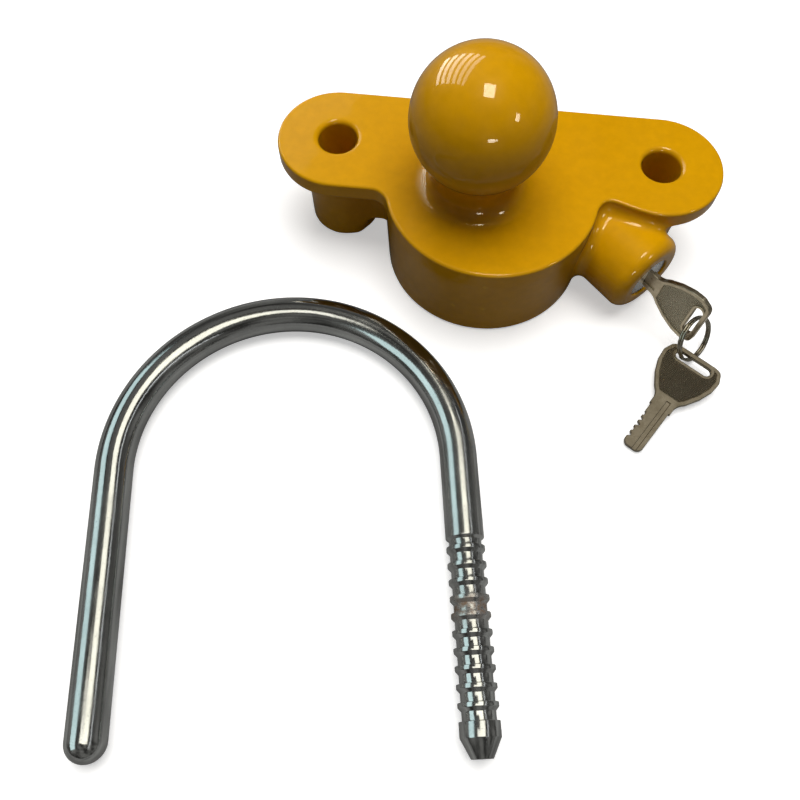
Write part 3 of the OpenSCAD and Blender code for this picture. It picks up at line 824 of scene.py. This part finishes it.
SENSOR, LENS = 36.0, 37.215
CAM_AT = np.array([-5.2, -193.4, 272.3])
CAM_AZ, CAM_EL, CAM_ROLL = math.radians(6.19), math.radians(65.45), math.radians(0.19)
cam_data = bpy.data.cameras.new("camera")
cam_data.sensor_width = SENSOR
cam_data.lens = LENS
cam_data.clip_start = 0.01
cam = bpy.data.objects.new("camera", cam_data)
fwd = Vector((-math.sin(CAM_AZ) * math.cos(CAM_EL), math.cos(CAM_AZ) * math.cos(CAM_EL), -math.sin(CAM_EL)))
right = Vector((math.cos(CAM_AZ), math.sin(CAM_AZ), 0))
up = right.cross(fwd)
rot = Matrix((right, up, -fwd)).transposed() @ Matrix.Rotation(CAM_ROLL, 3, "Z")
cam.matrix_world = Matrix.Translation(Vector(CAM_AT * MM)) @ rot.to_4x4()
bpy.context.scene.collection.objects.link(cam)
bpy.context.scene.camera = cam


def panel(name, at, target, size, radiance, colour=(1, 1, 1), only=None, diffuse=True, glossy=True):
    """A rectangular light; radiance is what a mirror would show. only limits it to one object."""
    d = bpy.data.lights.new(name, "AREA")
    d.shape = "RECTANGLE"
    d.size, d.size_y = size
    d.energy = radiance * math.pi * size[0] * size[1]
    d.color = colour
    o = bpy.data.objects.new(name, d)
    o.location = at
    o.rotation_euler = (Vector(target) - Vector(at)).to_track_quat("-Z", "Y").to_euler()
    o.visible_diffuse, o.visible_glossy = diffuse, glossy
    bpy.context.scene.collection.objects.link(o)
    if only:
        group = bpy.data.collections.new(name + "_receives")
        for ob in only:
            group.objects.link(ob)
        o.light_linking.receiver_collection = group
    return o


BALL = Vector((0, 0, BALL_Z * MM))


def seen_in_ball(name, direction, size, radiance, colour, shift=(0.0, 0.0), run=(1, 0, 0)):
    """A far lamp or window pane, seen only as a reflection in the enamel; run is its long side."""
    away = Vector(direction).normalized()
    across = (Vector(run) - away * Vector(run).dot(away)).normalized()
    at = BALL + away * 1.5 + across * shift[0] + away.cross(across) * shift[1]
    o = panel(name, at, BALL, size, radiance, colour, [cast], diffuse=False)
    o.rotation_euler = Matrix((across, away.cross(across), away)).transposed().to_euler()
    return o


panel("top_soft", (0.05, 0.30, 1.6), (0, -0.02, 0), (1.5, 1.3), 5.2, (1.0, 0.985, 0.96), glossy=False)

# Window panes side by side, each a little shorter and brighter than the one before.
PANES, PANE_GAP = 6, 0.22
for k in range(PANES):
    offset = (k - (PANES - 1) / 2) * PANE_GAP
    size = (1.55 - 0.10 * k, 0.13)
    seen_in_ball("window_pane_%d" % k, (-0.58, 0.60, 0.55), size, 7.0 + 1.0 * k,
                 (1.0, 0.98, 0.86), (0.03 * k, offset), (0.5, 0.68, -0.31))
# name, direction from the ball, size, radiance, colour
LAMPS = (
    ("lamp_ceiling", (0.087, -0.044, 0.993), (0.40, 0.52), 32.0, (1.0, 0.90, 0.68)),
    ("lamp_right", (0.786, -0.345, 0.514), (0.17, 0.26), 29.0, (1.0, 0.90, 0.70)),
    ("lamp_front", (0.267, -0.926, 0.264), (0.26, 0.14), 29.0, (1.0, 0.92, 0.75)),
    ("lamp_front_small", (0.38, -0.88, 0.26), (0.10, 0.07), 24.0, (1.0, 0.92, 0.75)),
)
for lamp in LAMPS:
    seen_in_ball(*lamp)

# Panels that only the bare metal pieces reflect; the spare key lies clear of the bright ones.
metal = [ob for ob in bpy.data.objects if ob.type == "MESH" and ob not in (cast, floor)]
keys = [ob for ob in metal if ob.data.materials and ob.data.materials[0] == MATS["key_nickel"]]
no_spare = [ob for ob in metal if "spare" not in ob.name]
first_key = [ob for ob in keys if "spare" not in ob.name]
CREAM, PALE, WARM = (1.0, 0.98, 0.85), (1.0, 0.98, 0.88), (1.0, 0.97, 0.88)
# name, place, target, size, radiance, colour, receivers
METAL_PANELS = (
    ("strip_ceiling", (0.20, 0.02, 1.2), (0.20, 0.02, 0), (0.60, 0.95), 1.6, CREAM, no_spare),
    ("strip_over_bow", (-0.20, -0.24, 1.2), (-0.20, -0.24, 0), (0.42, 0.34), 1.5, PALE, no_spare),
    ("strip_thin", (0.62, -0.1, 0.8), (0, -0.1, 0.03), (1.6, 0.05), 1.4, (0.92, 0.96, 1.0), metal),
    ("strip_window", (-1.3, -0.15, 0.95), (0, -0.1, 0.03), (2.4, 0.85), 1.0, (0.72, 0.97, 1.0), no_spare),
    ("fill_keys", (0.1, -0.1, 1.5), (0.1, -0.1, 0), (2.4, 2.4), 0.36, WARM, keys),
    ("floor_glow", (0.060, -0.035, 0.0005), (0.060, -0.035, 1), (0.08, 0.08), 0.35, (1.0, 0.97, 0.90),
     first_key),
)
for item in METAL_PANELS:
    light = panel(*item, diffuse=False)
light.visible_camera = False


def room():
    """Dim, uneven surroundings for reflections; the camera sees a plain pale wall."""
    world = bpy.data.worlds.new("room")
    bpy.context.scene.world = world
    world.use_nodes = True
    nodes, link = world.node_tree.nodes, world.node_tree.links.new
    back = nodes["Background"]
    back.inputs["Strength"].default_value = 0.15
    patches = nodes.new("ShaderNodeTexNoise")
    patches.inputs["Scale"].default_value = 2.6
    patches.inputs["Detail"].default_value = 2.0
    link(nodes.new("ShaderNodeTexCoord").outputs["Generated"], patches.inputs["Vector"])
    shades = nodes.new("ShaderNodeValToRGB")
    stops = (0.38, (0.16, 0.16, 0.15, 1)), (0.66, (1.12, 1.12, 1.08, 1))
    for element, (position, colour) in zip(shades.color_ramp.elements, stops):
        element.position = position
        element.color = colour
    link(patches.outputs["Fac"], shades.inputs["Fac"])
    wall = nodes.new("ShaderNodeMixRGB")
    wall.inputs["Color2"].default_value = (5.8, 5.8, 5.8, 1)
    link(nodes.new("ShaderNodeLightPath").outputs["Is Camera Ray"], wall.inputs["Fac"])
    link(shades.outputs["Color"], wall.inputs["Color1"])
    link(wall.outputs["Color"], back.inputs["Color"])


room()
bpy.context.scene.view_settings.view_transform = "Standard"
